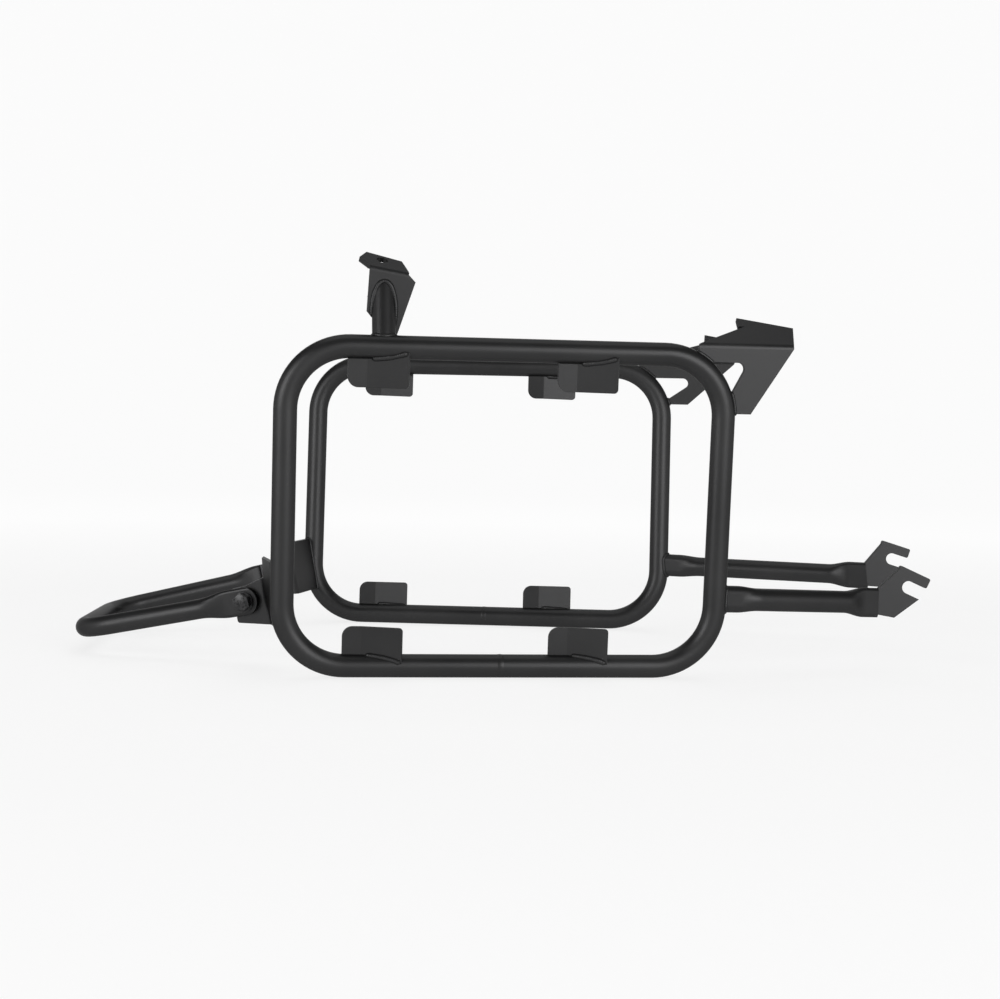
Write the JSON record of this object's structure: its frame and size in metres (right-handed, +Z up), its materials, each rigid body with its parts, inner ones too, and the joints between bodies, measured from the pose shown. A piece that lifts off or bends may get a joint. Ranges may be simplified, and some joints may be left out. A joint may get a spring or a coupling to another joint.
{
  "type": "pannier frame",
  "caption": "Motorbike pannier frame: tube loops with folded bag tabs, welded fixing brackets, pressed-end struts with open forks, and a bolted rear cross tube.",
  "frame": {"origin": "on the floor under the middle of the whole frame's bounding box", "axes": "+X towards the front of the motorbike, +Y towards its left side, +Z up"},
  "size_m": [0.7414, 0.457, 0.3246],
  "materials": {
    "powder_coat": "satin black powder coat on steel",
    "fastener": "black zinc plate"
  },
  "bodies": {
    "root": {"right_loop": "powder_coat", "right_rear_upper_tab": "powder_coat", "right_front_upper_tab": "powder_coat", "right_rear_lower_tab": "powder_coat", "right_front_lower_tab": "powder_coat", "right_post": "powder_coat", "right_flag": "powder_coat", "right_front_bracket": "powder_coat", "right_strut": "powder_coat", "right_fork": "powder_coat", "right_rear_bracket": "powder_coat", "left_loop": "powder_coat", "left_rear_upper_tab": "powder_coat", "left_front_upper_tab": "powder_coat", "left_rear_lower_tab": "powder_coat", "left_front_lower_tab": "powder_coat", "left_post": "powder_coat", "left_flag": "powder_coat", "left_front_bracket": "powder_coat", "left_strut": "powder_coat", "left_fork": "powder_coat", "left_rear_bracket": "powder_coat", "cross_tube": "powder_coat", "cross_tube_bolts": "fastener", "cross_tube_washers": "fastener", "cross_tube_nuts": "fastener"}
  },
  "joints": []
}
